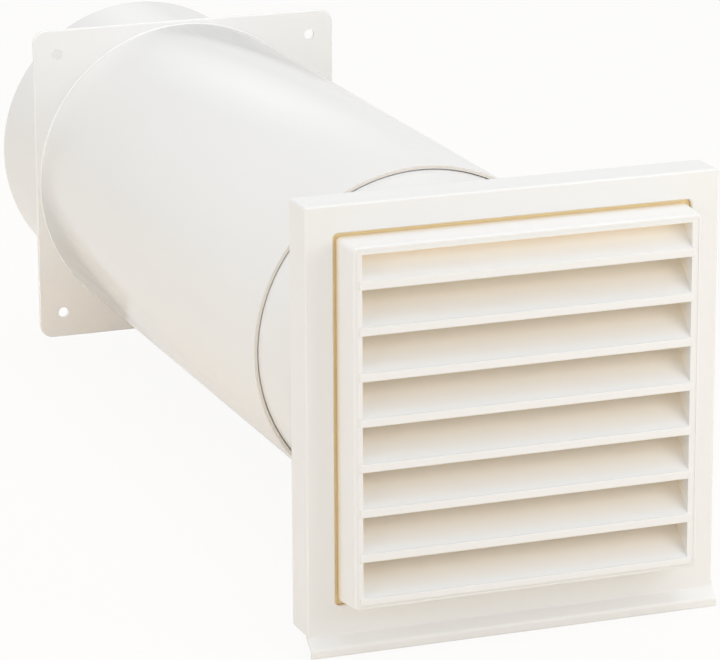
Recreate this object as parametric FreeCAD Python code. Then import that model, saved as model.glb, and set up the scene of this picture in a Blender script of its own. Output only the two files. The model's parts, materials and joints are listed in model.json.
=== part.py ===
import FreeCAD, Part
import math
import os

# Telescopic through-wall vent: louvred outside grille, sliding round pipes,
# inside wall plate with a duct spigot and a split backdraught damper.
# The duct axis runs along Y. The grille faces -Y, the spigot leaves along +Y.
# The origin lies on the duct axis, at the face of the plate that meets the wall.

# Pipes
duct_d = 155.0
pipe_wall = 1.8
slide_clearance = 0.35
outer_pipe_length = 329.1
shown_exposure = 89.0
inner_pipe_length = 266.0
rim_chamfer = 0.4

# Seal between the pipes
pipe_seal_width = 5.0
pipe_seal_depth = 1.0
pipe_seal_inset = 6.0
running_clearance = 0.05

# Inside wall plate
plate_margin = 2.0
plate_thickness = 2.2
plate_corner_r = 7.0
plate_edge_r = 0.8
plate_hole_d = 5.4
plate_hole_inset = 12.5
spigot_step = 3.25
spigot_wall = 2.0
spigot_length = 80.0
spigot_lead_in = 0.8
plate_ring_length = 12.0
plate_groove_depth = 0.6
push_fit = 0.15

# Grille frame
frame_margin = 14.5
frame_depth = 18.0
frame_wall = 2.2
frame_front = 2.4
frame_corner_r = 1.2
frame_edge_r = 1.0
frame_rim = 12.4
recess_rise = 0.4
recess_wall = 2.0
recess_corner_r = 2.0
recess_edge_r = 0.5
back_wall = 2.2
back_inset = 1.0
frame_hole_d = 4.5
frame_hole_inset = 11.6
channel_rib = 1.6
channel_ribs_per_side = 7

# Collar behind the grille frame, which carries the inner pipe
collar_wall = 2.0
collar_length = 24.0
collar_flange_width = 1.8
collar_flange = 1.1

# Drip lip under the grille frame
lip_wall = 1.4
lip_reach = 5.0
lip_drop = 7.6
lip_slope = 36.0
lip_bend_r = 2.2
lip_root_r = 1.2

# Foam gasket behind the grille frame
gasket_seat_depth = 6.0
gasket_stand_out = 1.0
gasket_clearance = 0.25

# Insect screen
screen_ring_depth = 4.2
screen_ring_wall = 4.2
screen_ledge_width = 1.5
screen_ledge_depth = 1.6
screen_thickness = 0.6
screen_pitch = 8.4
screen_bar = 1.0

# Louvre insert
insert_stand_out = 15.5
insert_gap = 1.5
insert_taper = 1.1
insert_corner_r = 2.0
insert_lip = 1.1
insert_back_gap = 0.5
insert_flange = 2.0
insert_flange_width = 4.2
insert_edge_r = 0.8
grip_rib_clearance = 0.2
grip_rib_length = 9.0
grip_rib_spacing = 90.0

# Louvre panel
slot_width = 0.7
slot_depth = 0.5
panel_side_wall = 2.2
panel_top_wall = 1.2
panel_corner_r = 1.0
blade_count = 7
blade_pitch = 19.3
first_opening = 10.9
nose_height = 3.8
nose_stand_out = 0.7
nose_thickness = 1.6
nose_overlap = 1.3
nose_edge_r = 0.6
blade_depth = 17.0
blade_angle = 45.0
blade_thickness = 1.8

# Backdraught damper
damper_start = 14.0
damper_depth = 22.0
damper_wall = 1.8
damper_clearance = 0.2
stop_rim_width = 4.25
stop_rim_thickness = 2.0
damper_seal_thickness = 1.0
damper_bar_width = 9.0
damper_boss_r = 3.1
damper_boss_height = 4.0
damper_boss_gap = 0.8
pin_d = 3.0
pin_press = 0.02
pin_collar_r = 2.8
pin_collar_width = 2.0
flap_thickness = 1.5
flap_edge_gap = 1.85
flap_seat_gap = 0.1
knuckle_wall = 1.65
knuckle_count = 3
knuckle_end_gap = 1.0
knuckle_side_gap = 0.4
flap_rib = 1.2
flap_rib_height = 2.0
flap_rib_inset = 3.0

# Flap springs
spring_wire_d = 0.9
spring_coil_r = 2.5
spring_turns = 9
spring_pitch = 1.5
spring_offset = 2.0
spring_leg = 22.0
spring_rest_length = 6.0
spring_rest_width = 9.0
spring_room = 2.5

# Building allowances
cut_past = 1.0
same_place = 0.01

# Worked-out radii
duct_r = duct_d / 2
outer_bore_r = duct_r - pipe_wall
inner_pipe_r = outer_bore_r - slide_clearance
inner_bore_r = inner_pipe_r - pipe_wall
collar_r = inner_bore_r - push_fit
collar_bore_r = collar_r - collar_wall
collar_flange_r = collar_r + collar_flange_width
spigot_r = duct_r - spigot_step
spigot_bore_r = spigot_r - spigot_wall
plate_ring_r = outer_bore_r - push_fit
screen_ring_r = collar_bore_r - push_fit
damper_ring_r = spigot_bore_r - damper_clearance
damper_bore_r = damper_ring_r - damper_wall
flap_r = damper_bore_r - flap_edge_gap

# Worked-out half sizes of the square pieces
plate_half = duct_r + plate_margin
plate_hole_half = plate_half - plate_hole_inset
frame_half = duct_r + frame_margin
recess_half = frame_half - frame_rim
frame_hole_half = recess_half - frame_hole_inset
channel_inside = recess_half + recess_wall
channel_outside = frame_half - frame_wall
insert_half = recess_half - insert_gap
insert_front_half = insert_half - insert_taper
slot_outside = insert_front_half - insert_lip
panel_half = slot_outside - slot_width
panel_opening_half = panel_half - panel_side_wall

# Worked-out places along the duct axis
outer_rim_y = plate_groove_depth - outer_pipe_length
frame_back_y = outer_rim_y - shown_exposure
frame_front_y = frame_back_y - frame_depth
back_wall_rear_y = frame_back_y - back_inset
back_wall_front_y = back_wall_rear_y - back_wall
inner_pipe_end_y = back_wall_rear_y + inner_pipe_length
insert_front_y = frame_front_y - insert_stand_out
insert_back_y = back_wall_front_y - insert_back_gap
panel_back_y = insert_back_y - insert_flange - push_fit
damper_end_y = damper_start + damper_depth
stop_rim_y = damper_end_y - stop_rim_thickness
damper_seal_y = stop_rim_y - damper_seal_thickness
flap_back_y = damper_seal_y - flap_seat_gap
flap_front_y = flap_back_y - flap_thickness
knuckle_bore_r = pin_d / 2 + running_clearance
knuckle_r = knuckle_bore_r + knuckle_wall
pin_y = flap_back_y - knuckle_r

# Worked-out places along the hinge pin
spring_end_z = spring_offset + spring_turns * spring_pitch
spring_slope = spring_pitch / (2 * math.pi * spring_coil_r)
knuckle_start_z = spring_end_z + spring_room
knuckle_end_z = damper_bore_r - damper_boss_height - knuckle_end_gap
knuckle_length = (knuckle_end_z - knuckle_start_z + knuckle_end_gap) / knuckle_count - knuckle_end_gap


def vec(x, y, z):
    return FreeCAD.Vector(x, y, z)


def cylinder_y(radius, y_start, y_end):
    return Part.makeCylinder(radius, y_end - y_start, vec(0, y_start, 0), vec(0, 1, 0))


def tube_y(outer_r, inner_r, y_start, y_end):
    return cylinder_y(outer_r, y_start, y_end).cut(cylinder_y(inner_r, y_start - cut_past, y_end + cut_past))


def drill_corners(body, half, hole_d, y_start, y_end):
    """Four holes along Y, one in each corner of a square."""
    for x in (-half, half):
        for z in (-half, half):
            hole = Part.makeCylinder(hole_d / 2, y_end - y_start, vec(x, y_start, z), vec(0, 1, 0))
            body = body.cut(hole)
    return body


def cylinder_z(radius, x, y, z_start, z_end):
    return Part.makeCylinder(radius, z_end - z_start, vec(x, y, z_start), vec(0, 0, 1))


def block(x_range, y_range, z_range):
    size = [high - low for low, high in (x_range, y_range, z_range)]
    return Part.makeBox(size[0], size[1], size[2], vec(x_range[0], y_range[0], z_range[0]))


def rounded_outline(half_x, z_low, z_high, corner_r, y):
    """Closed outline in the plane at y, with its four corners rounded."""
    corners = [(1, z_high, 0), (-1, z_high, 90), (-1, z_low, 180), (1, z_low, 270)]
    edges = []
    points = []
    for side, z, start in corners:
        centre = vec(side * (half_x - corner_r), y, z - math.copysign(corner_r, z - (z_low + z_high) / 2))
        arc_points = []
        for turn in (0, 45, 90):
            angle = math.radians(start + turn)
            arc_points.append(centre + vec(corner_r * math.cos(angle), 0, corner_r * math.sin(angle)))
        edges.append(Part.Arc(*arc_points).toShape())
        points.append((arc_points[0], arc_points[2]))
    for index, (_, end) in enumerate(points):
        following = points[(index + 1) % len(points)][0]
        edges.append(Part.makeLine(end, following))
    return Part.Wire(Part.__sortEdges__(edges))


def rounded_block(half, corner_r, y_start, y_end, rise=0.0):
    outline = rounded_outline(half, rise - half, rise + half, corner_r, y_start)
    return Part.Face(outline).extrude(vec(0, y_end - y_start, 0))


def tapered_block(half_start, half_end, corner_r, y_start, y_end, rise):
    wires = []
    for half, y in ((half_start, y_start), (half_end, y_end)):
        wires.append(rounded_outline(half, rise - half, rise + half, corner_r, y))
    return Part.makeLoft(wires, True, True)


def fuse_all(shapes):
    return shapes[0].multiFuse(shapes[1:]).removeSplitter()


def extrude_x(points, x_start, x_end):
    """Straight-sided profile of (y, z) points, extruded along X."""
    corners = [vec(x_start, y, z) for y, z in points]
    outline = Part.makePolygon(corners + corners[:1])
    return Part.Face(outline).extrude(vec(x_end - x_start, 0, 0))


def edges_in_plane(shape, y):
    """Edges lying in the plane at y."""
    found = []
    for edge in shape.Edges:
        box = edge.BoundBox
        if abs(box.YMin - y) < same_place and abs(box.YMax - y) < same_place:
            found.append(edge)
    return found


def round_edges(shape, radius):
    """Circular edges of one radius."""
    found = []
    for edge in shape.Edges:
        if isinstance(edge.Curve, Part.Circle) and abs(edge.Curve.Radius - radius) < same_place:
            found.append(edge)
    return found


def make_outer_pipe():
    pipe = tube_y(duct_r, outer_bore_r, outer_rim_y, plate_groove_depth)
    return pipe.makeChamfer(rim_chamfer, edges_in_plane(pipe, outer_rim_y))


def make_inner_pipe():
    pipe = tube_y(inner_pipe_r, inner_bore_r, back_wall_rear_y, inner_pipe_end_y)
    groove_end = inner_pipe_end_y - pipe_seal_inset
    groove_start = groove_end - pipe_seal_width - 2 * push_fit
    groove = tube_y(inner_pipe_r + cut_past, inner_pipe_r - pipe_seal_depth, groove_start, groove_end)
    return pipe.cut(groove)


def make_pipe_seal():
    seal_end = inner_pipe_end_y - pipe_seal_inset - push_fit
    seal_start = seal_end - pipe_seal_width
    inner_r = inner_pipe_r - pipe_seal_depth + running_clearance
    outer_r = outer_bore_r - running_clearance
    seal = tube_y(outer_r, inner_r, seal_start, seal_end)
    return seal.makeChamfer(slide_clearance, round_edges(seal, outer_r))


def make_wall_plate():
    plate = rounded_block(plate_half, plate_corner_r, 0, plate_thickness)
    rims = edges_in_plane(plate, 0) + edges_in_plane(plate, plate_thickness)
    plate = plate.makeFillet(plate_edge_r, rims)
    spigot = cylinder_y(spigot_r, 0, spigot_length)
    spigot = spigot.makeChamfer(spigot_lead_in, edges_in_plane(spigot, spigot_length))
    ring = cylinder_y(plate_ring_r, -plate_ring_length, 0)
    body = fuse_all([plate, spigot, ring])
    body = body.cut(cylinder_y(spigot_bore_r, -plate_ring_length - cut_past, spigot_length + cut_past))
    body = body.cut(tube_y(duct_r + push_fit, plate_ring_r, -cut_past, plate_groove_depth))
    return drill_corners(body, plate_hole_half, plate_hole_d, -cut_past, plate_thickness + cut_past)


def make_drip_lip():
    """Thin lip that slopes out and down from the frame's front face and then turns straight down."""
    slope = math.radians(lip_slope)
    bend_out = lip_reach - lip_bend_r
    bend_down = (bend_out + lip_bend_r * math.sin(slope)) * math.tan(slope) + lip_bend_r * math.cos(slope)
    tip_down = lip_drop - lip_wall / 2
    back_r = lip_bend_r - lip_wall

    def at(out, down):
        return vec(-frame_half, frame_front_y - out, -frame_half - down)

    def on_bend(radius, share):
        turn = (slope - math.pi / 2) * (1 - share)
        return at(bend_out + radius * math.cos(turn), bend_down + radius * math.sin(turn))

    def on_root(turn):
        return at(lip_root_r - lip_root_r * math.cos(turn), root_down + lip_root_r * math.sin(turn))

    root_down = -lip_root_r * (1 - math.sin(slope)) / math.cos(slope)
    root_turn = math.pi / 2 - slope
    back_out = bend_out + back_r * math.sin(slope) - (bend_down - back_r * math.cos(slope)) / math.tan(slope)
    edges = [
        Part.makeLine(at(back_out, 0), at(back_out, -frame_wall)),
        Part.makeLine(at(back_out, -frame_wall), at(0, -frame_wall)),
        Part.makeLine(at(0, -frame_wall), on_root(0)),
        Part.Arc(on_root(0), on_root(root_turn / 2), on_root(root_turn)).toShape(),
        Part.makeLine(on_root(root_turn), on_bend(lip_bend_r, 0)),
        Part.Arc(on_bend(lip_bend_r, 0), on_bend(lip_bend_r, 0.5), on_bend(lip_bend_r, 1)).toShape(),
        Part.makeLine(on_bend(lip_bend_r, 1), at(lip_reach, tip_down)),
        Part.Arc(at(lip_reach, tip_down), at(lip_reach - lip_wall / 2, lip_drop),
                 at(lip_reach - lip_wall, tip_down)).toShape(),
        Part.makeLine(at(lip_reach - lip_wall, tip_down), on_bend(back_r, 1)),
        Part.Arc(on_bend(back_r, 1), on_bend(back_r, 0.5), on_bend(back_r, 0)).toShape(),
        Part.makeLine(on_bend(back_r, 0), at(back_out, 0)),
    ]
    return Part.Face(Part.Wire(edges)).extrude(vec(2 * frame_half, 0, 0))


def make_channel_ribs(y_start, y_end):
    """Short ribs across the hollow behind the frame's face, which the gasket sits on."""
    ribs = []
    step = 2 * recess_half / channel_ribs_per_side
    inside = channel_inside - recess_wall / 2
    outside = channel_outside + frame_wall / 2
    for index in range(channel_ribs_per_side):
        place = step * (index + 0.5) - recess_half
        along = (place - channel_rib / 2, place + channel_rib / 2)
        for reach in ((inside, outside), (-outside, -inside)):
            ribs.append(block(reach, (y_start, y_end), along))
            ribs.append(block(along, (y_start, y_end), reach))
    return ribs


def make_grille_frame():
    face_rear_y = frame_front_y + frame_front
    body = rounded_block(frame_half, frame_corner_r, frame_front_y, frame_back_y)
    body = body.makeFillet(frame_edge_r, edges_in_plane(body, frame_front_y))
    end_y = frame_back_y + cut_past
    outside = rounded_block(channel_outside, frame_corner_r, face_rear_y, end_y)
    inside = rounded_block(channel_inside, recess_corner_r, frame_front_y, end_y + cut_past, recess_rise)
    recess = rounded_block(recess_half, recess_corner_r, frame_front_y, back_wall_front_y, recess_rise)
    mouth_half = recess_half + recess_edge_r
    mouth = tapered_block(
        mouth_half, recess_half, recess_corner_r, frame_front_y, frame_front_y + recess_edge_r, recess_rise)
    behind = rounded_block(channel_outside, frame_corner_r, back_wall_rear_y, end_y)
    body = body.cut(fuse_all([outside.cut(inside), recess, mouth, behind]))
    ribs = make_channel_ribs(face_rear_y - frame_front / 2, frame_back_y - gasket_seat_depth)
    body = fuse_all([body, make_drip_lip()] + ribs)
    cut_start_y = back_wall_front_y - cut_past
    cut_end_y = back_wall_rear_y + cut_past
    body = body.cut(cylinder_y(collar_r + push_fit, cut_start_y, cut_end_y))
    body = body.cut(cylinder_y(collar_flange_r + push_fit, cut_start_y, back_wall_front_y + collar_flange))
    return drill_corners(body, frame_hole_half, frame_hole_d, cut_start_y, cut_end_y)


def make_frame_collar():
    """Tube through the frame's back wall, with a flange that sits in a rebate there."""
    tube = tube_y(collar_r, collar_bore_r, back_wall_front_y, back_wall_rear_y + collar_length)
    flange = tube_y(collar_flange_r, collar_bore_r, back_wall_front_y, back_wall_front_y + collar_flange)
    return fuse_all([tube, flange])


def make_frame_gasket():
    seat_y = frame_back_y - gasket_seat_depth
    end_y = frame_back_y + gasket_stand_out
    strip = rounded_block(channel_outside - gasket_clearance, frame_corner_r, seat_y, end_y)
    inside = channel_inside + gasket_clearance
    hollow = rounded_block(inside, recess_corner_r, seat_y - cut_past, end_y + cut_past, recess_rise)
    return strip.cut(hollow)


def make_screen_ring():
    inner_r = screen_ring_r - screen_ring_wall
    end_y = back_wall_front_y + screen_ring_depth
    ring = tube_y(screen_ring_r, inner_r, back_wall_front_y, end_y)
    ledge = cylinder_y(inner_r + screen_ledge_width, end_y - screen_ledge_depth, end_y + cut_past)
    return ring.cut(ledge)


def make_insect_screen():
    """Round mesh, as one thin disc with square gaps."""
    mesh_r = screen_ring_r - screen_ring_wall + screen_ledge_width - push_fit
    start_y = back_wall_front_y + screen_ring_depth - screen_ledge_depth
    end_y = start_y + screen_thickness
    disc = cylinder_y(mesh_r, start_y, end_y)
    clear_r = mesh_r - screen_bar
    half_count = int(clear_r // screen_pitch)
    half_gap = (screen_pitch - screen_bar) / 2
    holes = []
    for row in range(-half_count, half_count + 1):
        for column in range(-half_count, half_count + 1):
            x = column * screen_pitch
            z = row * screen_pitch
            if math.hypot(abs(x) + half_gap, abs(z) + half_gap) > clear_r:
                continue
            x_range = (x - half_gap, x + half_gap)
            z_range = (z - half_gap, z + half_gap)
            holes.append(block(x_range, (start_y - cut_past, end_y + cut_past), z_range))
    print("insect screen gaps", len(holes))
    return disc.cut(Part.makeCompound(holes))


def make_grip_ribs():
    """Half-round ribs that hold the louvre insert in the frame's recess."""
    rib_end_y = insert_back_y - insert_flange
    rib_start_y = rib_end_y - grip_rib_length
    rib_r = insert_gap - grip_rib_clearance
    half_spacing = grip_rib_spacing / 2
    places = []
    for place in (-half_spacing, half_spacing):
        for reach in (-insert_half, insert_half):
            places.append((reach, place + recess_rise))
            places.append((place, reach + recess_rise))
    ribs = []
    for x, z in places:
        ribs.append(Part.makeCylinder(rib_r, rib_end_y - rib_start_y, vec(x, rib_start_y, z), vec(0, 1, 0)))
    clear_half = (panel_half + insert_half) / 2
    inner = rounded_block(clear_half, panel_corner_r, rib_start_y - cut_past, rib_end_y + cut_past, recess_rise)
    return [rib.cut(inner) for rib in ribs]


def make_louvre_surround():
    rise = recess_rise
    nose = tapered_block(insert_front_half, insert_half, insert_corner_r, insert_front_y, frame_front_y, rise)
    nose = nose.makeFillet(insert_edge_r, edges_in_plane(nose, insert_front_y))
    base = rounded_block(insert_half, insert_corner_r, frame_front_y, insert_back_y, rise)
    body = fuse_all([nose, base] + make_grip_ribs())
    flange_y = insert_back_y - insert_flange
    slot_start_y = insert_front_y - cut_past
    slot = rounded_block(slot_outside, panel_corner_r, slot_start_y, insert_front_y + slot_depth, rise)
    socket = rounded_block(panel_half + push_fit, panel_corner_r, insert_front_y, flange_y, rise)
    window_half = panel_half + push_fit - insert_flange_width
    window = rounded_block(window_half, panel_corner_r, flange_y - cut_past, insert_back_y + cut_past, rise)
    return body.cut(fuse_all([slot, socket, window]))


def blade_profile(nose_top_z):
    """Side view of one blade: vertical nose, slope up and back, thin web."""
    slope = math.tan(math.radians(blade_angle))
    web = blade_thickness / math.cos(math.radians(blade_angle))
    front = insert_front_y
    back = front + blade_depth
    turn = front + nose_thickness + web
    return [
        (front, nose_top_z),
        (back, nose_top_z + blade_depth * slope),
        (back, nose_top_z + blade_depth * slope - web),
        (turn, nose_top_z + (turn - front) * slope - web),
        (front + nose_thickness, nose_top_z - nose_height),
        (front, nose_top_z - nose_height),
    ]


def make_louvre_panel():
    top_z = recess_rise + panel_half
    bottom_z = recess_rise - panel_half
    opening_top_z = top_z - panel_top_wall
    body = rounded_block(panel_half, panel_corner_r, insert_front_y, panel_back_y, recess_rise)
    opening_z = (bottom_z + panel_top_wall, opening_top_z)
    opening_y = (insert_front_y - cut_past, panel_back_y + cut_past)
    pieces = [body.cut(block((-panel_opening_half, panel_opening_half), opening_y, opening_z))]
    blade_reach = panel_half - panel_side_wall / 2
    nose_reach = panel_opening_half + nose_overlap
    nose_y = (insert_front_y - nose_stand_out, insert_front_y + nose_thickness / 2)
    for index in range(blade_count + 1):
        nose_top_z = opening_top_z - first_opening - index * blade_pitch
        nose_low_z = max(nose_top_z - nose_height, bottom_z)
        blade = extrude_x(blade_profile(nose_top_z), -blade_reach, blade_reach)
        pieces.append(blade.common(body))
        nose = block((-nose_reach, nose_reach), nose_y, (nose_low_z, nose_top_z))
        pieces.append(nose.makeFillet(nose_edge_r, edges_in_plane(nose, nose_y[0])))
    return fuse_all(pieces)


def make_damper_ring():
    """Short sleeve with a stop rim, a bar behind the hinge and two bosses for its pin."""
    stop_bore_r = damper_bore_r - stop_rim_width
    ring = tube_y(damper_ring_r, damper_bore_r, damper_start, damper_end_y)
    stop = tube_y(damper_bore_r + damper_wall / 2, stop_bore_r, stop_rim_y, damper_end_y)
    half_bar = damper_bar_width / 2
    bar_reach = damper_bore_r - stop_rim_width / 2
    bar = block((-half_bar, half_bar), (stop_rim_y, damper_end_y), (-bar_reach, bar_reach))
    boss_start = damper_bore_r - damper_boss_height
    boss_end = damper_bore_r + damper_wall / 2
    bosses = [
        cylinder_z(damper_boss_r, 0, pin_y, boss_start, boss_end),
        cylinder_z(damper_boss_r, 0, pin_y, -boss_end, -boss_start),
    ]
    body = fuse_all([ring, stop, bar] + bosses)
    hole_reach = damper_ring_r + cut_past
    return body.cut(cylinder_z(pin_d / 2 + pin_press, 0, pin_y, -hole_reach, hole_reach))


def make_damper_seal():
    return tube_y(damper_bore_r - push_fit, damper_bore_r - stop_rim_width, damper_seal_y, stop_rim_y)


def make_hinge_pin():
    reach = damper_ring_r - push_fit
    pin = cylinder_z(pin_d / 2, 0, pin_y, -reach, reach)
    collar = cylinder_z(pin_collar_r, 0, pin_y, -pin_collar_width / 2, pin_collar_width / 2)
    return fuse_all([pin, collar])


def knuckle_places(side):
    """Knuckle centres along the pin; the two flaps take turns."""
    places = []
    for index in range(knuckle_count):
        height = knuckle_start_z + knuckle_length / 2 + index * (knuckle_length + knuckle_end_gap)
        upper = index % 2 == 0
        places.append(height if upper == (side > 0) else -height)
    return places


def make_flap_disc(side, inner_x):
    """Flat half of the disc, cleared round the two pin bosses."""
    depth = (flap_front_y - cut_past, flap_back_y + cut_past)
    disc = cylinder_y(flap_r, flap_front_y, flap_back_y)
    reach = flap_r + cut_past
    half_disc = disc.common(block(sorted((side * inner_x, side * reach)), depth, (-reach, reach)))
    notch_x = damper_boss_r + knuckle_r
    notch_z = damper_bore_r - damper_boss_height - damper_boss_gap
    for height in ((notch_z, reach), (-reach, -notch_z)):
        half_disc = half_disc.cut(block((-notch_x, notch_x), depth, height))
    return half_disc


def make_flap(side):
    """Half-disc flap; side is +1 for the one at +X and -1 for the one at -X."""
    inner_x = knuckle_r + knuckle_side_gap
    pieces = [make_flap_disc(side, inner_x)]
    rib_y = (flap_front_y - flap_rib_height, flap_front_y + flap_thickness / 2)
    for place in knuckle_places(side):
        along_pin = (place - knuckle_length / 2, place + knuckle_length / 2)
        pieces.append(cylinder_z(knuckle_r, 0, pin_y, *along_pin))
        web_x = sorted((0, side * (inner_x + flap_thickness)))
        pieces.append(block(web_x, (flap_front_y, flap_back_y), along_pin))
        rib_reach = math.sqrt(flap_r ** 2 - place ** 2) - flap_rib_inset
        rib_x = sorted((side * inner_x, side * rib_reach))
        pieces.append(block(rib_x, rib_y, (place - flap_rib / 2, place + flap_rib / 2)))
    rest_mid_x = spring_leg - spring_rest_length / 2 - spring_wire_d
    rest_x = sorted((side * (rest_mid_x - spring_rest_length / 2), side * (rest_mid_x + spring_rest_length / 2)))
    rest_y = pin_y - spring_coil_r + spring_wire_d / 2 + running_clearance
    rest_mid_z = side * (spring_end_z + rest_mid_x * spring_slope)
    rest_z = (rest_mid_z - spring_rest_width / 2, rest_mid_z + spring_rest_width / 2)
    pieces.append(block(rest_x, (rest_y, flap_front_y + flap_thickness / 2), rest_z))
    body = fuse_all(pieces)
    return body.cut(cylinder_z(knuckle_bore_r, 0, pin_y, -flap_r, flap_r))


def arc_from_tangent(start, control, end):
    """Arc from start to end that is tangent to both sides of the control point."""
    middle = (start + end) * 0.5
    half_chord = (end - start).Length / 2
    side = (control - start).Length
    bend = math.acos(min(1.0, half_chord / side))
    sagitta = half_chord * math.tan(bend / 2)
    direction = (control - middle).normalize()
    return Part.Arc(start, middle + direction * sagitta, end).toShape()


def biarc(start, start_dir, end, end_dir):
    """Two tangent arcs between two points with given directions."""
    gap = end - start
    both = start_dir + end_dir
    spread = 2 * (1 - start_dir.dot(end_dir))
    along = gap.dot(both)
    reach = (-along + math.sqrt(along * along + spread * gap.dot(gap))) / spread
    first = start + start_dir * reach
    second = end - end_dir * reach
    joint = (first + second) * 0.5
    return [arc_from_tangent(start, first, joint), arc_from_tangent(joint, second, end)]


def helix_point(side, angle, start_angle, start_z):
    turned = (angle - start_angle) / (2 * math.pi)
    z = start_z + spring_pitch * turned
    return vec(side * spring_coil_r * math.cos(angle), pin_y + spring_coil_r * math.sin(angle), side * z)


def helix_direction(side, angle):
    rise = spring_pitch / (2 * math.pi)
    across = spring_coil_r
    return vec(-side * across * math.sin(angle), across * math.cos(angle), side * rise).normalize()


def make_flap_spring(side):
    """Torsion spring: a coil round the hinge pin and a leg that presses the flap shut."""
    end_angle = -math.pi / 2
    start_angle = end_angle - 2 * math.pi * spring_turns
    steps = 4 * spring_turns
    edges = []
    for step in range(steps):
        low = start_angle + (end_angle - start_angle) * step / steps
        high = start_angle + (end_angle - start_angle) * (step + 1) / steps
        start = helix_point(side, low, start_angle, spring_offset)
        end = helix_point(side, high, start_angle, spring_offset)
        edges += biarc(start, helix_direction(side, low), end, helix_direction(side, high))
    leg_start = helix_point(side, end_angle, start_angle, spring_offset)
    leg_end = leg_start + helix_direction(side, end_angle) * spring_leg
    edges.append(Part.makeLine(leg_start, leg_end))
    path = Part.Wire(edges)
    first = helix_point(side, start_angle, start_angle, spring_offset)
    section = Part.Wire(Part.makeCircle(spring_wire_d / 2, first, helix_direction(side, start_angle)))
    shell = Part.BRepOffsetAPI.MakePipeShell(path)
    shell.add(section)
    shell.build()
    shell.makeSolid()
    return shell.shape()


def report_spring_gap():
    """Least gap between the turns of one spring, measured on points along it."""
    points = []
    samples = 48
    for index in range(spring_turns * samples + 1):
        angle = 2 * math.pi * index / samples
        points.append(helix_point(1, angle, 0.0, 0.0))
    least = None
    for index, point in enumerate(points):
        for other in points[index + samples // 2:]:
            gap = (other - point).Length - spring_wire_d
            if least is None or gap < least:
                least = gap
    print("least gap between spring turns", round(least, 3), "mm")


def main():
    nodes = {
        "wall_plate": make_wall_plate(),
        "outer_pipe": make_outer_pipe(),
        "inner_pipe": make_inner_pipe(),
        "pipe_seal": make_pipe_seal(),
        "grille_frame": make_grille_frame(),
        "frame_collar": make_frame_collar(),
        "frame_gasket": make_frame_gasket(),
        "screen_ring": make_screen_ring(),
        "insect_screen": make_insect_screen(),
        "louvre_surround": make_louvre_surround(),
        "louvre_panel": make_louvre_panel(),
        "damper_ring": make_damper_ring(),
        "damper_seal": make_damper_seal(),
        "hinge_pin": make_hinge_pin(),
        "flap_left": make_flap(-1),
        "flap_right": make_flap(1),
        "flap_spring_left": make_flap_spring(-1),
        "flap_spring_right": make_flap_spring(1),
    }
    report_spring_gap()
    os.makedirs("parts", exist_ok=True)
    for name, shape in nodes.items():
        shape.exportStep("parts/" + name + ".step")
        box = shape.optimalBoundingBox(True, False)
        size = [round(length, 2) for length in (box.XLength, box.YLength, box.ZLength)]
        print(name, "solids", len(shape.Solids), "valid", shape.isValid(), "volume", round(shape.Volume, 1), size)


main()
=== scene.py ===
import json
import math

import bmesh
import bpy
from mathutils import Matrix, Vector

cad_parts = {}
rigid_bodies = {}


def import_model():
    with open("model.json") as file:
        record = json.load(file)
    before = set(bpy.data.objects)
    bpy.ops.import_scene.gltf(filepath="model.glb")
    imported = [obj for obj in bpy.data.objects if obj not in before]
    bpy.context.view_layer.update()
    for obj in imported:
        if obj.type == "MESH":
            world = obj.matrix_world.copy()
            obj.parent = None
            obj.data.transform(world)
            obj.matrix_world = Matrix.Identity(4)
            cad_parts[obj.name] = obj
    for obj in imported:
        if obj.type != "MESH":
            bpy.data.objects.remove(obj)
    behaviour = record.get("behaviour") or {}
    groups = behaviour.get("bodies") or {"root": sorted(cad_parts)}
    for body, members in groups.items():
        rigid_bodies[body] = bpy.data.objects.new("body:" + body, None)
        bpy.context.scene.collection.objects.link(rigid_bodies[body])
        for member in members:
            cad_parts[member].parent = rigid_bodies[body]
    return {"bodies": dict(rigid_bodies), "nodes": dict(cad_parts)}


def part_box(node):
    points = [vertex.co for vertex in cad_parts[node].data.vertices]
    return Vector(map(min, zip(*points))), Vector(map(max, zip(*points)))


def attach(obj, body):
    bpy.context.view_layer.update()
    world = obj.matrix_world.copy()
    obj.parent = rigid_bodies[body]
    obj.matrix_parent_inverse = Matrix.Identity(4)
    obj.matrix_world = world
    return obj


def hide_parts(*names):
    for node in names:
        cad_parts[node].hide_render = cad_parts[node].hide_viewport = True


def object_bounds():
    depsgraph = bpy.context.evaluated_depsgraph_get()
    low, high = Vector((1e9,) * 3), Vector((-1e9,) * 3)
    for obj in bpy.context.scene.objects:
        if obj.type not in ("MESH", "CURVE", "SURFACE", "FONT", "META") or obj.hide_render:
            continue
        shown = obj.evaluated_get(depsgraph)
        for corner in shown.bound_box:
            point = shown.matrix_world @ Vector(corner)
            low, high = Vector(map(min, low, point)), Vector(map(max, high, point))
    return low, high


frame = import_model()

mm = 0.001
nodes = frame["nodes"]
kept = set(nodes.values()) | set(frame["bodies"].values())
for spare in [thing for thing in bpy.data.objects if thing not in kept]:
    bpy.data.objects.remove(spare)
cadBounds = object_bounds()
print("frame loaded with", len(nodes), "nodes")

softAngle = math.radians(35)  # edges that turn more get a soft bevel
flatAngle = math.radians(1)  # triangles that turn less become one face
weldReach = 0.002 * mm
samePlace = 0.01 * mm


# Small helpers for meshes

# A bmesh becomes a finished piece that rides on its body
def addPiece(name, bm, materials, body, replaced=None, sharp=True):
    mesh = bpy.data.meshes.new(name)
    bm.to_mesh(mesh)
    bm.free()
    mesh.shade_smooth()
    if sharp:
        mesh.set_sharp_from_angle(angle=softAngle)
    piece = bpy.data.objects.new(name, mesh)
    bpy.context.scene.collection.objects.link(piece)
    for material in materials:
        mesh.materials.append(material)
    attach(piece, body)
    if replaced:
        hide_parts(replaced)
    return piece


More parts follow.
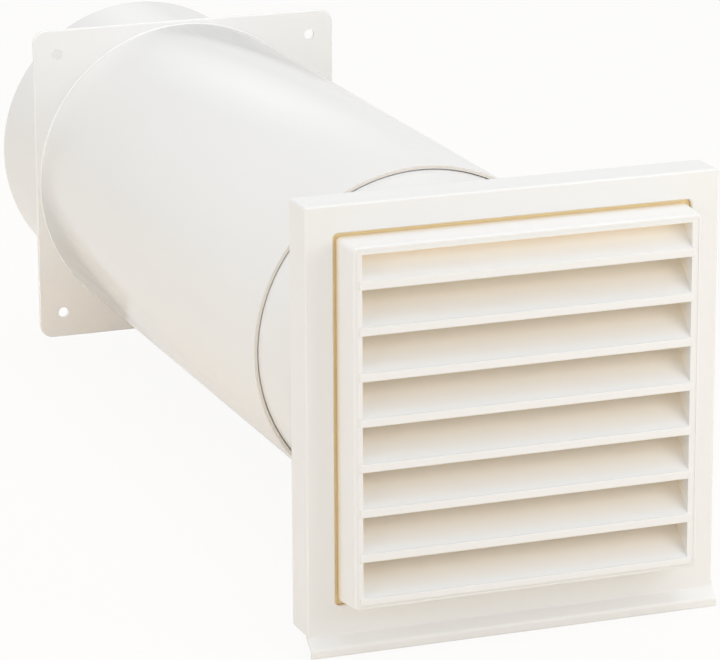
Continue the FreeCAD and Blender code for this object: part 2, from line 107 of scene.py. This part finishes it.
# The CAD node's triangles, joined and made flat faces again
def mergedCopy(nodeName):
    bm = bmesh.new()
    bm.from_mesh(nodes[nodeName].data)
    bmesh.ops.remove_doubles(bm, verts=bm.verts, dist=weldReach)
    bmesh.ops.dissolve_limit(bm, angle_limit=flatAngle, verts=bm.verts, edges=bm.edges)
    return bm


def softenEdges(bm, width, segments):
    corners = []
    for edge in bm.edges:
        if edge.is_manifold and edge.calc_face_angle() > softAngle:
            corners.append(edge)
    bmesh.ops.bevel(bm, geom=corners, offset=width, offset_type="OFFSET", segments=segments,
                    profile=0.5, affect="EDGES", clamp_overlap=True, material=-1)


def softenedPiece(name, nodeName, materials, body, width, segments=2):
    bm = mergedCopy(nodeName)
    softenEdges(bm, width, segments)
    piece = addPiece(name, bm, materials, body, nodeName)
    weighted = piece.modifiers.new("flatFaces", "WEIGHTED_NORMAL")
    weighted.keep_sharp = True
    return piece


# Spin and solidify number their edges and faces differently in each run, so the mesh is
# built again with its faces sorted by their corners
def inFixedOrder(bm):
    bm.verts.index_update()
    loops = []
    for face in bm.faces:
        indices = [vert.index for vert in face.verts]
        first = indices.index(min(indices))
        loops.append(indices[first:] + indices[:first])
    ordered = bmesh.new()
    verts = [ordered.verts.new(vert.co) for vert in bm.verts]
    for loop in sorted(loops):
        ordered.faces.new([verts[index] for index in loop])
    bm.free()
    ordered.normal_update()
    return ordered


# A closed profile of (radius, y) corners, turned once round the Y axis, with soft edges
def spunRing(profile, steps, width, segments):
    bm = bmesh.new()
    corners = [bm.verts.new((radius, y, 0)) for radius, y in profile]
    for index, corner in enumerate(corners):
        bm.edges.new((corner, corners[(index + 1) % len(corners)]))
    bmesh.ops.spin(bm, geom=bm.verts[:] + bm.edges[:], cent=(0, 0, 0), axis=(0, 1, 0),
                   angle=2 * math.pi, steps=steps, use_merge=True)
    bmesh.ops.recalc_face_normals(bm, faces=bm.faces)
    bm = inFixedOrder(bm)
    softenEdges(bm, width, segments)
    return bm


# The tube round a curve, as a bmesh
def tubeFromCurve(curve, name):
    holder = bpy.data.objects.new(name, curve)
    bpy.context.scene.collection.objects.link(holder)
    bpy.context.view_layer.update()
    shaped = holder.evaluated_get(bpy.context.evaluated_depsgraph_get())
    mesh = bpy.data.meshes.new_from_object(shaped)
    bpy.data.objects.remove(holder)
    bm = bmesh.new()
    bm.from_mesh(mesh)
    bpy.data.meshes.remove(mesh)
    return bm


# Small helpers for materials

noiseMiddle = (0.3, 0.7)  # where most of a noise lies


def startMaterial(name, roughness, specular=0.5):
    material = bpy.data.materials.new(name)
    material.use_nodes = True
    tree = material.node_tree
    shader = tree.nodes["Principled BSDF"]
    shader.inputs["Roughness"].default_value = roughness
    shader.inputs["Specular IOR Level"].default_value = specular
    return material, tree, shader


# A setting is a property of the node or, if it has none of that name, one of its sockets
def addNode(tree, kind, settings=(), links=()):
    node = tree.nodes.new(kind)
    for key, value in settings:
        if isinstance(key, str) and hasattr(node, key):
            setattr(node, key, value)
        else:
            node.inputs[key].default_value = value
    for key, source in links:
        tree.links.new(source, node.inputs[key])
    return node


def mathOf(tree, operation, first, second):
    node = addNode(tree, "ShaderNodeMath", [("operation", operation)], [(0, first)])
    if isinstance(second, float):
        node.inputs[1].default_value = second
    else:
        tree.links.new(second, node.inputs[1])
    return node.outputs[0]


def objectVector(tree, scale=(1, 1, 1)):
    where = addNode(tree, "ShaderNodeTexCoord")
    links = [("Vector", where.outputs["Object"])]
    return addNode(tree, "ShaderNodeMapping", [("Scale", scale)], links).outputs["Vector"]


def noiseFrom(tree, place, scale, detail=3.0):
    settings = [("Scale", scale), ("Detail", detail)]
    return addNode(tree, "ShaderNodeTexNoise", settings, [("Vector", place)]).outputs["Fac"]


def mixColours(tree, factor, low, high):
    mix = addNode(tree, "ShaderNodeMix", [("data_type", "RGBA")])
    factorSocket, lowSocket, highSocket = mix.inputs[0], mix.inputs[6], mix.inputs[7]
    for socket, value in ((lowSocket, low), (highSocket, high)):
        if isinstance(value, tuple):
            socket.default_value = (*value, 1)
        else:
            tree.links.new(value, socket)
    tree.links.new(factor, factorSocket)
    return mix.outputs[2]


def rangeOf(tree, value, source, target):
    settings = [("From Min", source[0]), ("From Max", source[1]),
                ("To Min", target[0]), ("To Max", target[1])]
    return addNode(tree, "ShaderNodeMapRange", settings, [("Value", value)]).outputs["Result"]


def addBump(tree, shader, height, values):
    settings = [("Strength", values["bump"]), ("Distance", values["bumpDepth"])]
    bump = addNode(tree, "ShaderNodeBump", settings, [("Height", height)])
    tree.links.new(bump.outputs["Normal"], shader.inputs["Normal"])


# Materials

pipePlastic = {
    "colour": (0.87, 0.869, 0.864),
    "patch": (0.86, 0.857, 0.848),
    "patchScale": 14,
    "roughness": (0.11, 0.15),
    "specular": 0.28,
    "lineScale": 300,
    "lineStretch": (1, 0.02, 1),  # the drawn lines run along the pipe
    "bump": 0.006,
    "bumpDepth": 0.1 * mm,
}


def makePipeMaterial():
    smoothest = pipePlastic["roughness"][0]
    material, tree, shader = startMaterial("glossyPipePlastic", smoothest, pipePlastic["specular"])
    broad = noiseFrom(tree, objectVector(tree), pipePlastic["patchScale"])
    colour = mixColours(tree, broad, pipePlastic["colour"], pipePlastic["patch"])
    tree.links.new(colour, shader.inputs["Base Color"])
    along = objectVector(tree, pipePlastic["lineStretch"])
    lines = noiseFrom(tree, along, pipePlastic["lineScale"], detail=2.0)
    spread = rangeOf(tree, lines, noiseMiddle, pipePlastic["roughness"])
    tree.links.new(spread, shader.inputs["Roughness"])
    addBump(tree, shader, lines, pipePlastic)
    return material


sawnEnd = {
    "colour": (0.95, 0.89, 0.80),
    "groove": (0.90, 0.83, 0.73),
    "scale": 900,
    "stretch": (1, 1, 0.15),  # the saw marks run up and down
    "roughness": 0.55,
    "bump": 0.25,
    "bumpDepth": 0.1 * mm,
}


def makeSawnEndMaterial():
    material, tree, shader = startMaterial("sawnPipeEnd", sawnEnd["roughness"])
    marks = noiseFrom(tree, objectVector(tree, sawnEnd["stretch"]), sawnEnd["scale"], detail=2.0)
    colour = mixColours(tree, marks, sawnEnd["colour"], sawnEnd["groove"])
    tree.links.new(colour, shader.inputs["Base Color"])
    addBump(tree, shader, marks, sawnEnd)
    return material


mouldedPlastic = {
    "colour": (0.87, 0.869, 0.864),
    "patch": (0.86, 0.857, 0.848),
    "patchScale": 18,
    "grainScale": 1800,
    "grainShift": (-0.04, 0.05),  # what the grain adds to the roughness
    "bump": 0.10,
    "bumpDepth": 0.05 * mm,
}
glossyPlate = {
    "colour": (0.93, 0.932, 0.93),
    "patch": (0.92, 0.919, 0.913),
    "bump": 0.05,
}
mouldedRoughness = {
    "plate": 0.14,
    "frame": 0.36,
    "recess": 0.42,
    "surround": 0.36,
    "blades": 0.34,
    "inner": 0.5,
}

# Painted warm shade by depth along Y, standing in for the glow of light through the plastic in the
# gap round the insert and deep in the louvre openings: where the painted shade starts, is full,
# begins to fade and has gone
paintedGapShade = (0.93, 0.80, 0.60)
paintedBladeShade = (0.99, 0.90, 0.765)
paintedShadeDepths = {
    "recess": (-0.3 * mm, 1.0 * mm, 4.0 * mm, 7.0 * mm),  # from the frame's front
    "surround": (-3.5 * mm, 1.0 * mm, 3.0 * mm, 5.0 * mm),  # from the frame's front
    "blades": (1.5 * mm, 9.0 * mm, 40.0 * mm, 41.0 * mm),  # from the panel's noses
}


# White moulded plastic, with an optional painted warm shade that starts from the given place along
# Y
def makeMouldedMaterial(name, part, tone=None, start=0, changes=()):
    values = {**mouldedPlastic, **dict(changes)}
    roughness = mouldedRoughness[part]
    material, tree, shader = startMaterial(name, roughness)
    place = objectVector(tree)
    broad = noiseFrom(tree, place, values["patchScale"])
    colour = mixColours(tree, broad, values["colour"], values["patch"])
    # The tone is painted warm shade, deeper along Y
    if tone:
        depths = [start + depth for depth in paintedShadeDepths[part]]
        parts = addNode(tree, "ShaderNodeSeparateXYZ", links=[("Vector", place)])
        rising = rangeOf(tree, parts.outputs["Y"], depths[:2], (0, 1))
        falling = rangeOf(tree, parts.outputs["Y"], depths[2:], (1, 0))
        amount = mathOf(tree, "MINIMUM", rising, falling)
        colour = mixColours(tree, amount, colour, tone)
    tree.links.new(colour, shader.inputs["Base Color"])
    grain = noiseFrom(tree, place, values["grainScale"], detail=2.0)
    shifted = [roughness + shift for shift in values["grainShift"]]
    tree.links.new(rangeOf(tree, grain, noiseMiddle, shifted), shader.inputs["Roughness"])
    addBump(tree, shader, grain, values)
    return material


# Amber of the lip round the insert: painted warm shade standing in for the glow of light through
# the plastic in the gap to the frame
paintedGapShadeAmber = {
    "colour": (0.92, 0.78, 0.47),
    "cloud": (0.88, 0.73, 0.42),
    "scale": 120,
    "roughness": 0.45,
    "specular": 0.4,
    "bump": 0.15,
    "bumpDepth": 0.1 * mm,
}


def makePaintedGapShadeMaterial():
    material, tree, shader = startMaterial("amberPaintedGapShade", paintedGapShadeAmber["roughness"],
                                           paintedGapShadeAmber["specular"])
    clouds = noiseFrom(tree, objectVector(tree), paintedGapShadeAmber["scale"])
    colour = mixColours(tree, clouds, paintedGapShadeAmber["colour"], paintedGapShadeAmber["cloud"])
    tree.links.new(colour, shader.inputs["Base Color"])
    addBump(tree, shader, clouds, paintedGapShadeAmber)
    return material


softBlack = {
    "colour": (0.022, 0.022, 0.024),
    "dust": (0.06, 0.058, 0.055),
    "dustRange": (0.5, 0.75),
    "scale": 260,
    "roughness": 0.62,
    "specular": 0.35,
    "bump": 0.3,
    "bumpDepth": 0.1 * mm,
}


def makeRubberMaterial():
    material, tree, shader = startMaterial("blackSealRubber", softBlack["roughness"],
                                           softBlack["specular"])
    dust = noiseFrom(tree, objectVector(tree), softBlack["scale"], detail=4.0)
    amount = rangeOf(tree, dust, softBlack["dustRange"], (0, 1))
    colour = mixColours(tree, amount, softBlack["colour"], softBlack["dust"])
    tree.links.new(colour, shader.inputs["Base Color"])
    addBump(tree, shader, dust, softBlack)
    return material


foamStrip = {
    "colour": (0.075, 0.075, 0.08),
    "pore": (0.02, 0.02, 0.022),
    "poreScale": 900,
    "poreRange": (0.1, 0.55),
    "roughness": 0.9,
    "specular": 0.2,
    "bump": 0.8,
    "bumpDepth": 0.2 * mm,
}


def makeFoamMaterial():
    material, tree, shader = startMaterial("closedCellFoam", foamStrip["roughness"],
                                           foamStrip["specular"])
    # The pores are painted darker than the cell walls, as painted shade in the pits
    pores = addNode(tree, "ShaderNodeTexVoronoi", [("Scale", foamStrip["poreScale"])],
                    [("Vector", objectVector(tree))])
    walls = rangeOf(tree, pores.outputs["Distance"], foamStrip["poreRange"], (0, 1))
    colour = mixColours(tree, walls, foamStrip["pore"], foamStrip["colour"])
    tree.links.new(colour, shader.inputs["Base Color"])
    addBump(tree, shader, walls, foamStrip)
    return material


screenWire = {
    "colour": (0.52, 0.52, 0.51),
    "dull": (0.36, 0.36, 0.35),
    "scale": 500,
    "roughness": 0.5,
    "bump": 0.2,
    "bumpDepth": 0.05 * mm,
}


def makeScreenMaterial():
    material, tree, shader = startMaterial("coatedMeshWire", screenWire["roughness"])
    tone = noiseFrom(tree, objectVector(tree), screenWire["scale"])
    colour = mixColours(tree, tone, screenWire["colour"], screenWire["dull"])
    tree.links.new(colour, shader.inputs["Base Color"])
    addBump(tree, shader, tone, screenWire)
    return material


drawnSteel = {
    "colour": (0.56, 0.56, 0.57),
    "dark": (0.34, 0.34, 0.35),
    "scale": 1500,
    "stretch": (1, 1, 0.08),  # the drawn lines run along the pin
    "roughness": (0.22, 0.4),
    "bump": 0.1,
    "bumpDepth": 0.05 * mm,
}


def makeSteelMaterial():
    material, tree, shader = startMaterial("drawnStainlessSteel", drawnSteel["roughness"][0])
    shader.inputs["Metallic"].default_value = 1.0
    lines = noiseFrom(tree, objectVector(tree, drawnSteel["stretch"]), drawnSteel["scale"])
    colour = mixColours(tree, lines, drawnSteel["colour"], drawnSteel["dark"])
    tree.links.new(colour, shader.inputs["Base Color"])
    spread = rangeOf(tree, lines, noiseMiddle, drawnSteel["roughness"])
    tree.links.new(spread, shader.inputs["Roughness"])
    addBump(tree, shader, lines, drawnSteel)
    return material


lipReach = 5.0 * mm  # the drip lip stands this far in front of the frame
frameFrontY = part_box("grille_frame")[0].y + lipReach
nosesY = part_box("louvre_panel")[0].y
pipeMaterial = makePipeMaterial()
sawnMaterial = makeSawnEndMaterial()
plateMaterial = makeMouldedMaterial("glossyPlatePlastic", "plate", changes=glossyPlate)
frameMaterial = makeMouldedMaterial("satinFramePlastic", "frame")
# The recess, surround and blade plastics carry painted warm shade, deeper along Y
recessMaterial = makeMouldedMaterial("recessPlasticPaintedShade", "recess", paintedGapShade, frameFrontY)
surroundMaterial = makeMouldedMaterial("satinSurroundPlasticPaintedShade", "surround", paintedGapShade, frameFrontY)
bladeMaterial = makeMouldedMaterial("satinBladePlasticPaintedShade", "blades", paintedBladeShade, nosesY)
innerMaterial = makeMouldedMaterial("matteInnerPlastic", "inner")
paintedGapShadeMaterial = makePaintedGapShadeMaterial()
rubberMaterial = makeRubberMaterial()
foamMaterial = makeFoamMaterial()
screenMaterial = makeScreenMaterial()
steelMaterial = makeSteelMaterial()
print("materials made")


# Pipes

pipes = {
    "wall": 1.8 * mm,
    "steps": 192,
    "edge": 0.35 * mm,
    "edgeSegments": 3,
}


def makeOuterPipe():
    low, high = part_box("outer_pipe")
    outer = high.z
    inner = outer - pipes["wall"]
    bm = spunRing([(inner, low.y), (outer, low.y), (outer, high.y), (inner, high.y)],
                  pipes["steps"], pipes["edge"], pipes["edgeSegments"])
    for face in bm.faces:
        if abs(face.calc_center_median().y - low.y) < samePlace:
            face.material_index = 1  # the sawn end
    addPiece("outerPipeTube", bm, [pipeMaterial, sawnMaterial], "root", "outer_pipe")


sealGroove = {
    "depth": 1.0 * mm,
    "sideClearance": 0.15 * mm,
}


def makeInnerPipe():
    low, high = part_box("inner_pipe")
    sealLow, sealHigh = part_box("pipe_seal")
    outer = high.z
    inner = outer - pipes["wall"]
    bottom = outer - sealGroove["depth"]
    grooveStart = sealLow.y - sealGroove["sideClearance"]
    grooveEnd = sealHigh.y + sealGroove["sideClearance"]
    profile = [(inner, low.y), (outer, low.y), (outer, grooveStart), (bottom, grooveStart),
               (bottom, grooveEnd), (outer, grooveEnd), (outer, high.y), (inner, high.y)]
    fineEdge = pipes["edge"] / 2
    bm = spunRing(profile, pipes["steps"], fineEdge, pipes["edgeSegments"])
    addPiece("innerPipeTube", bm, [pipeMaterial], "grille", "inner_pipe")


pipeSeal = {
    "thickness": 1.25 * mm,
    "shoulder": 0.5 * mm,  # the sides are this much lower than the crown
    "halfCrown": 1.0 * mm,
    "edge": 0.15 * mm,
    "edgeSegments": 2,
}


def makePipeSeal():
    low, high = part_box("pipe_seal")
    outer = high.z
    inner = outer - pipeSeal["thickness"]
    side = outer - pipeSeal["shoulder"]
    middle = (low.y + high.y) / 2
    profile = [(inner, low.y), (side, low.y), (outer, middle - pipeSeal["halfCrown"]),
               (outer, middle + pipeSeal["halfCrown"]), (side, high.y), (inner, high.y)]
    bm = spunRing(profile, pipes["steps"], pipeSeal["edge"], pipeSeal["edgeSegments"])
    addPiece("pipeSealRing", bm, [rubberMaterial], "seal", "pipe_seal")


seatBead = {
    "up": 0.45 * mm,
    "along": 0.7 * mm,
    "sunk": 0.2 * mm,
    "edge": 0.05 * mm,
    "edgeSegments": 2,
}


# Small bead of solvent cement where the pipe meets the wall plate
def makeSeatBead():
    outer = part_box("outer_pipe")[1].z
    top = outer + seatBead["up"]
    sunk = seatBead["sunk"]
    profile = [(outer - sunk, sunk), (outer - sunk, -seatBead["along"]),
               (outer, -seatBead["along"]), (top, 0), (top, sunk)]
    bm = spunRing(profile, pipes["steps"], seatBead["edge"], seatBead["edgeSegments"])
    addPiece("pipeSeatBead", bm, [plateMaterial], "root")


makeOuterPipe()
makeInnerPipe()
makePipeSeal()
makeSeatBead()
print("pipes made")


# Wall plate and grille mouldings

softEdges = {
    "plate": 0.25 * mm,
    "frame": 0.30 * mm,
    "surround": 0.30 * mm,
    "panel": 0.35 * mm,
    "collar": 0.25 * mm,
    "damper": 0.20 * mm,
    "gasket": 0.9 * mm,
    "gasketSegments": 4,
}


def makeMouldings():
    plate = softenedPiece("wallPlateMoulding", "wall_plate", [plateMaterial, pipeMaterial],
                          "root", softEdges["plate"])
    markSpigot(plate)
    grille = softenedPiece("grilleFrameMoulding", "grille_frame", [frameMaterial, recessMaterial],
                           "grille", softEdges["frame"])
    markRecessPaintedShade(grille)
    softenedPiece("louvreSurroundMoulding", "louvre_surround", [surroundMaterial],
                  "insert", softEdges["surround"])
    softenedPiece("louvrePanelMoulding", "louvre_panel", [bladeMaterial],
                  "insert", softEdges["panel"])
    softenedPiece("frameCollarRing", "frame_collar", [innerMaterial],
                  "grille", softEdges["collar"])
    softenedPiece("screenRingClip", "screen_ring", [innerMaterial],
                  "grille", softEdges["collar"])
    softenedPiece("foamGasketStrip", "frame_gasket", [foamMaterial],
                  "grille", softEdges["gasket"], softEdges["gasketSegments"])


plateBack = 2.5 * mm  # just behind the flat plate


# The spigot behind the plate has the gloss of the pipes
def markSpigot(piece):
    for face in piece.data.polygons:
        if face.center.y > plateBack:
            face.material_index = 1


recessPaintedShadeArea = {
    "margin": 0.6 * mm,  # past the grip ribs of the surround
    "start": 0.35 * mm,  # behind the frame's front
    "backward": 0.5,  # faces that look further to the back are left out
}


# The walls of the recess take the plastic with painted warm shade
def markRecessPaintedShade(piece):
    low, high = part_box("louvre_surround")
    reach = high.x + recessPaintedShadeArea["margin"]
    rise = (low.z + high.z) / 2
    start = frameFrontY + recessPaintedShadeArea["start"]
    points = piece.data.vertices
    for face in piece.data.polygons:
        corners = [points[index].co for index in face.vertices]
        inside = all(max(abs(corner.x), abs(corner.z - rise)) < reach for corner in corners)
        if inside and face.center.y > start and face.normal.y < recessPaintedShadeArea["backward"]:
            face.material_index = 1


cornerSegments = 6


# A flat square ring with round corners, whose front is at the given place along Y
def squareRing(half, values, front, rise):
    bm = bmesh.new()
    upright = Matrix.Rotation(math.radians(90), 3, "X")
    bmesh.ops.create_grid(bm, x_segments=1, y_segments=1, size=half)
    bmesh.ops.rotate(bm, verts=bm.verts, cent=(0, 0, 0), matrix=upright)
    bmesh.ops.bevel(bm, geom=bm.verts[:], offset=values["cornerRadius"], offset_type="OFFSET",
                    segments=cornerSegments, profile=0.5, affect="VERTICES", material=-1)
    bmesh.ops.inset_region(bm, faces=bm.faces[:], thickness=values["width"], use_boundary=True)
    middle = max(bm.faces, key=lambda face: len(face.verts))
    bmesh.ops.delete(bm, geom=[middle], context="FACES_ONLY")
    bmesh.ops.solidify(bm, geom=bm.faces[:], thickness=values["thickness"])
    bmesh.ops.recalc_face_normals(bm, faces=bm.faces)
    bm = inFixedOrder(bm)
    start = min(vert.co.y for vert in bm.verts)
    bmesh.ops.translate(bm, verts=bm.verts, vec=(0, front - start, rise))
    return bm


paintedShadeLip = {
    "depth": 2.0 * mm,  # behind the frame's front
    "thickness": 1.2 * mm,
    "width": 2.2 * mm,
    "cornerRadius": 2.0 * mm,
    "clearance": 0.12 * mm,
    "ribClearance": 0.2 * mm,  # from the grip ribs to the wall of the recess
}


# Thin amber lip round the insert, which closes the gap to the frame just behind its front; its
# colour is painted warm shade, standing in for the golden glow in that gap
def makePaintedShadeLip():
    low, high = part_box("louvre_surround")
    half = high.x + paintedShadeLip["ribClearance"] - paintedShadeLip["clearance"]
    bm = squareRing(half, paintedShadeLip, frameFrontY + paintedShadeLip["depth"], (low.z + high.z) / 2)
    addPiece("insertSealingLip", bm, [paintedGapShadeMaterial], "insert")


slotBead = {
    "depth": 0.18 * mm,  # behind the panel's front
    "thickness": 0.28 * mm,
    "width": 1.0 * mm,  # its inner rim is sunk in the panel
    "cornerRadius": 1.0 * mm,
    "clearance": 0.02 * mm,
    "slotWidth": 0.7 * mm,
    "noseReach": 0.7 * mm,  # the noses stand this far in front of the panel
}


# Fine ledge in the slot round the louvre panel, so that the slot is a shallow line
def makeSlotBead():
    low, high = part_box("louvre_panel")
    half = high.x + slotBead["slotWidth"] - slotBead["clearance"]
    front = low.y + slotBead["noseReach"] + slotBead["depth"]
    bm = squareRing(half, slotBead, front, (low.z + high.z) / 2)
    addPiece("panelSlotBead", bm, [frameMaterial], "insert")


makeMouldings()
makePaintedShadeLip()
makeSlotBead()
print("grille made")


# Woven insect mesh

weave = {
    "pitch": 2.2 * mm,
    "wireRadius": 0.16 * mm,
    "lift": 0.17 * mm,  # how far a wire swings to each side
}


def makeInsectMesh():
    low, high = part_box("insect_screen")
    middleY = (low.y + high.y) / 2
    pitch = weave["pitch"]
    radius = high.x - weave["wireRadius"]
    count = int(radius // pitch)
    curve = bpy.data.curves.new("wovenWires", "CURVE")
    curve.dimensions = "3D"
    curve.bevel_depth = weave["wireRadius"]
    curve.bevel_resolution = 0
    for alongX in (True, False):
        for row in range(-count, count + 1):
            offset = row * pitch
            reach = math.sqrt(max(radius ** 2 - offset ** 2, 0))
            crossings = int(reach // pitch)
            inner = [step * pitch for step in range(-crossings, crossings + 1)]
            stops = [-reach] + inner + [reach]
            spline = curve.splines.new("POLY")
            spline.points.add(len(stops) - 1)
            for index, stop in enumerate(stops):
                side = 1 if (round(stop / pitch) + row) % 2 == 0 else -1
                y = middleY + side * weave["lift"] * (1 if alongX else -1)
                place = (stop, y, offset, 1) if alongX else (offset, y, stop, 1)
                spline.points[index].co = place
    bm = tubeFromCurve(curve, "wovenWires")
    addPiece("wovenInsectMesh", bm, [screenMaterial], "grille", "insect_screen",
             sharp=False)


makeInsectMesh()
print("insect mesh made")


# Damper

flapSpring = {
    "wireRadius": 0.45 * mm,
    "coilRadius": 2.5 * mm,
    "turns": 9,
    "pitch": 1.5 * mm,
    "start": 2.0 * mm,  # from the middle of the pin
    "leg": 22.0 * mm,
    "pointsPerTurn": 32,
    "roundness": 2,
}


# Coil round the hinge pin, and a leg that lies along the flap
def makeSpring(name, nodeName, body, side):
    pinLow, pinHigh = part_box("hinge_pin")
    pinY = (pinLow.y + pinHigh.y) / 2
    radius = flapSpring["coilRadius"]
    pitch = flapSpring["pitch"]
    perTurn = flapSpring["pointsPerTurn"]
    total = flapSpring["turns"] * perTurn
    points = []
    for step in range(total + 1):
        angle = -math.pi / 2 - 2 * math.pi * (total - step) / perTurn
        height = flapSpring["start"] + pitch * step / perTurn
        x = side * radius * math.cos(angle)
        y = pinY + radius * math.sin(angle)
        points.append(Vector((x, y, side * height)))
    slope = pitch / (2 * math.pi * radius)
    direction = Vector((side, 0, side * slope)).normalized()
    points.append(points[-1] + direction * flapSpring["leg"])
    curve = bpy.data.curves.new(name, "CURVE")
    curve.dimensions = "3D"
    curve.bevel_depth = flapSpring["wireRadius"]
    curve.bevel_resolution = flapSpring["roundness"]
    curve.use_fill_caps = True
    spline = curve.splines.new("POLY")
    spline.points.add(len(points) - 1)
    for index, point in enumerate(points):
        spline.points[index].co = (*point, 1)
    bm = tubeFromCurve(curve, name)
    addPiece(name, bm, [steelMaterial], body, nodeName)


def makeDamper():
    width = softEdges["damper"]
    softenedPiece("damperSleeve", "damper_ring", [innerMaterial], "root", width)
    softenedPiece("damperSealRing", "damper_seal", [rubberMaterial], "root", width)
    softenedPiece("damperHingePin", "hinge_pin", [steelMaterial], "root", width)
    softenedPiece("leftFlapDisc", "flap_left", [innerMaterial], "left_flap", width)
    softenedPiece("rightFlapDisc", "flap_right", [innerMaterial], "right_flap", width)
    makeSpring("leftFlapSpringCoil", "flap_spring_left", "left_flap", -1)
    makeSpring("rightFlapSpringCoil", "flap_spring_right", "right_flap", 1)


makeDamper()
print("damper made")


# Floor, light and camera

studio = {
    "floorGap": 0.5 * mm,
    "floorSize": 8.0,
    "floorColour": (0.88, 0.80, 0.68),
    "floorRoughness": 0.8,
    "floorSpecular": 0.2,
    "floorWhite": 0.92,
    "mirrorWhite": 0.75,  # share of the white that gloss shows
    "worldLight": 0.53,
    "worldColour": (1.0, 1.0, 1.0),
}
lamps = {
    "overhead": {"place": (0.2, -0.3, 2.0), "size": (1.5, 1.5), "power": 15.5},
    "leftSoftbox": {"place": (-1.6, -0.7, 0.25), "size": (1.2, 1.2), "power": 8.3},
    "rightSoftbox": {"place": (0.55, -0.95, 0.35), "size": (0.5, 0.5), "power": 1.9},
    "lowFrontSoftbox": {"place": (-0.2, -2.0, 0.12), "size": (1.2, 0.4), "power": 2.6},
    "backSoftbox": {"place": (0.6, 2.54, 1.05), "size": (1.4, 1.4), "power": 3.2, "fades": True},
    "bounceCard": {"place": (-0.55, -1.45, -0.03), "size": (0.16, 0.16), "power": 0.0065,
                   "aim": (-0.05, 0, -0.1), "beam": 5, "colour": (1.0, 0.5, 0.15)},
}
cameraView = {
    "place": (-636.22, -1961.60, 499.40),  # millimetres
    "yaw": 20.414,  # degrees
    "pitch": 15.8,
    "roll": -0.283,
    "lens": 207.6,
    "sensor": 36,
    "farthest": 50,
}


# Plain white for the camera, nearly white in reflections, and the given shader for light
def paleShader(tree, output, lit, whiteness):
    path = addNode(tree, "ShaderNodeLightPath")
    mirrored = mathOf(tree, "MULTIPLY", path.outputs["Is Glossy Ray"], studio["mirrorWhite"])
    seen = mathOf(tree, "MAXIMUM", path.outputs["Is Camera Ray"], mirrored)
    seen = mathOf(tree, "MAXIMUM", seen, path.outputs["Is Transmission Ray"])
    share = mathOf(tree, "MULTIPLY", seen, whiteness)
    onMesh = output.bl_idname == "ShaderNodeOutputMaterial"
    kind = "ShaderNodeEmission" if onMesh else "ShaderNodeBackground"
    white = addNode(tree, kind, [("Color", (1, 1, 1, 1)), ("Strength", 1.0)])
    links = [(0, share), (1, lit), (2, white.outputs[0])]
    mix = addNode(tree, "ShaderNodeMixShader", links=links)
    tree.links.new(mix.outputs[0], output.inputs["Surface"])


# A softbox that is brightest in its middle
def fadeToRim(lamp):
    lamp.use_nodes = True
    tree = lamp.node_tree
    across = addNode(tree, "ShaderNodeNewGeometry")
    centred = addNode(tree, "ShaderNodeMapping", [("Location", (-1, -1, 0)), ("Scale", (2, 2, 1))],
                      [("Vector", across.outputs["Parametric"])])
    fade = addNode(tree, "ShaderNodeTexGradient", [("gradient_type", "SPHERICAL")],
                   [("Vector", centred.outputs["Vector"])])
    tree.links.new(fade.outputs["Fac"], tree.nodes["Emission"].inputs["Strength"])


def makeFloor(low):
    bm = bmesh.new()
    bmesh.ops.create_grid(bm, x_segments=1, y_segments=1, size=studio["floorSize"] / 2)
    bmesh.ops.translate(bm, verts=bm.verts, vec=(0, 0, low.z - studio["floorGap"]))
    mesh = bpy.data.meshes.new("studioFloor")
    bm.to_mesh(mesh)
    bm.free()
    floor = bpy.data.objects.new("studioFloor", mesh)
    bpy.context.scene.collection.objects.link(floor)
    material, tree, shader = startMaterial("paleFloor", studio["floorRoughness"],
                                           studio["floorSpecular"])
    shader.inputs["Base Color"].default_value = (*studio["floorColour"], 1)
    paleShader(tree, tree.nodes["Material Output"], shader.outputs[0], studio["floorWhite"])
    mesh.materials.append(material)


def makeWorld():
    world = bpy.data.worlds.new("studioWorld")
    bpy.context.scene.world = world
    world.use_nodes = True
    tree = world.node_tree
    lit = tree.nodes["Background"]
    lit.inputs["Color"].default_value = (*studio["worldColour"], 1)
    lit.inputs["Strength"].default_value = studio["worldLight"]
    paleShader(tree, tree.nodes["World Output"], lit.outputs[0], 1.0)


# The lamps look at the middle of the object, apart from the bounce card's narrow warm beam,
# which falls on the plate's lower corner and isn't seen in reflections
def makeLamps(middle):
    for name, values in lamps.items():
        lamp = bpy.data.lights.new(name, "AREA")
        lamp.shape = "RECTANGLE"
        lamp.size, lamp.size_y = values["size"]
        lamp.energy = values["power"]
        stand = bpy.data.objects.new(name, lamp)
        bpy.context.scene.collection.objects.link(stand)
        stand.location = values["place"]
        aim = Vector(values.get("aim", middle))
        stand.rotation_euler = (aim - stand.location).to_track_quat("-Z", "Y").to_euler()
        stand.visible_camera = False
        if values.get("beam"):
            lamp.spread = math.radians(values["beam"])
            lamp.color = values["colour"]
            stand.visible_glossy = False
        if values.get("fades"):
            fadeToRim(lamp)


def makeCamera():
    camera = bpy.data.objects.new("photoCamera", bpy.data.cameras.new("photoCamera"))
    bpy.context.scene.collection.objects.link(camera)
    camera.data.sensor_width = cameraView["sensor"]
    camera.data.lens = cameraView["lens"]
    camera.data.clip_end = cameraView["farthest"]
    turn = Matrix.Rotation(math.radians(-cameraView["yaw"]), 4, "Z")
    tilt = Matrix.Rotation(math.radians(90 - cameraView["pitch"]), 4, "X")
    roll = Matrix.Rotation(math.radians(cameraView["roll"]), 4, "Z")
    place = Matrix.Translation(Vector(cameraView["place"]) * mm)
    camera.matrix_world = place @ turn @ tilt @ roll
    bpy.context.scene.camera = camera


lowCorner, highCorner = cadBounds
makeFloor(lowCorner)
makeWorld()
makeLamps((lowCorner + highCorner) / 2)
makeCamera()
bpy.context.scene.view_settings.view_transform = "Standard"
print("studio ready")
